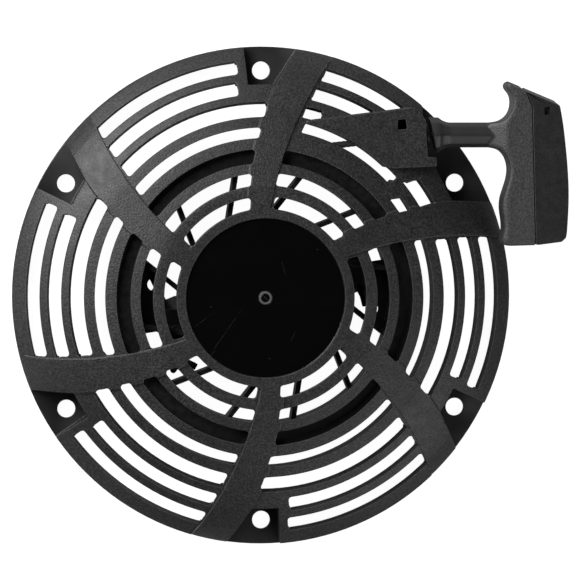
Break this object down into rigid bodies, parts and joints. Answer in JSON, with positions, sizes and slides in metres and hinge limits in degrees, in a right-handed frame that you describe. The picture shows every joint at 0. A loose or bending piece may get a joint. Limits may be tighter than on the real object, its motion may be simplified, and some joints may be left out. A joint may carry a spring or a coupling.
{
  "type": "recoil starter",
  "caption": "Round domed pull starter for a small engine, with a ring grille, a rope reel, pawls and a T-handle.",
  "frame": {"origin": "on the reel's axis, in the plane of the mounting face at the underside of the rim", "axes": "+Z along the reel's axis, away from the engine; +X the way the handle is pulled; the handle is on the +X +Y side"},
  "size_m": [0.2769, 0.25, 0.0362],
  "materials": {
    "housing_plastic": "fine-grained moulded black, glossy hub cap",
    "reel_plastic": "smooth moulded black",
    "grip_plastic": "coarse-grained moulded dark grey",
    "cap_plastic": "smooth satin dark grey",
    "rope_fibre": "braided black",
    "steel": "zinc plated, satin",
    "spring_steel": "oiled, dark",
    "bushing_bronze": "sintered, matt"
  },
  "bodies": {
    "housing": {"housing": "housing_plastic", "rope_eyelet": "steel", "rope_run": "rope_fibre", "center_screw": "steel", "thrust_washer": "steel", "friction_spring": "spring_steel"},
    "reel": {"reel": "reel_plastic", "reel_bushing": "bushing_bronze", "spring_case": "steel", "rewind_spring": "spring_steel", "rope_coil": "rope_fibre", "pawl_pin_a": "steel", "pawl_pin_b": "steel", "pawl_spring_a": "spring_steel", "pawl_spring_b": "spring_steel"},
    "pawl_guide": {"pawl_guide": "steel"},
    "pawl_a": {"pawl_a": "steel"},
    "pawl_b": {"pawl_b": "steel"},
    "handle": {"grip": "grip_plastic", "grip_cap": "cap_plastic", "grip_washer": "steel", "rope_handle_end": "rope_fibre"}
  },
  "joints": [
    {"name": "reel_spin", "type": "hinge", "parent": "housing", "child": "reel", "pos_m": [0, 0, 0], "axis": [0, 0, -1], "range_deg": [0, 1080], "deforming": ["rewind_spring"]},
    {"name": "handle_pull", "type": "slide", "parent": "housing", "child": "handle", "axis": [1, 0, 0], "range_m": [0, 1.34]},
    {"name": "guide_turn", "type": "hinge", "parent": "reel", "child": "pawl_guide", "pos_m": [0, 0, 0], "axis": [0, 0, 1], "range_deg": [0, 6]},
    {"name": "pawl_a_swing", "type": "hinge", "parent": "reel", "child": "pawl_a", "pos_m": [-0.04326, -0.01836, 0], "axis": [0, 0, 1], "range_deg": [0, 20]},
    {"name": "pawl_b_swing", "type": "hinge", "parent": "reel", "child": "pawl_b", "pos_m": [0.04326, 0.01836, 0], "axis": [0, 0, 1], "range_deg": [0, 20]}
  ],
  "couplings": [
    {"joint": "handle_pull", "follows": "reel_spin", "m_per_rad": 0.071},
    {"joint": "pawl_a_swing", "follows": "guide_turn", "ratio": 3.3333},
    {"joint": "pawl_b_swing", "follows": "guide_turn", "ratio": 3.3333}
  ]
}
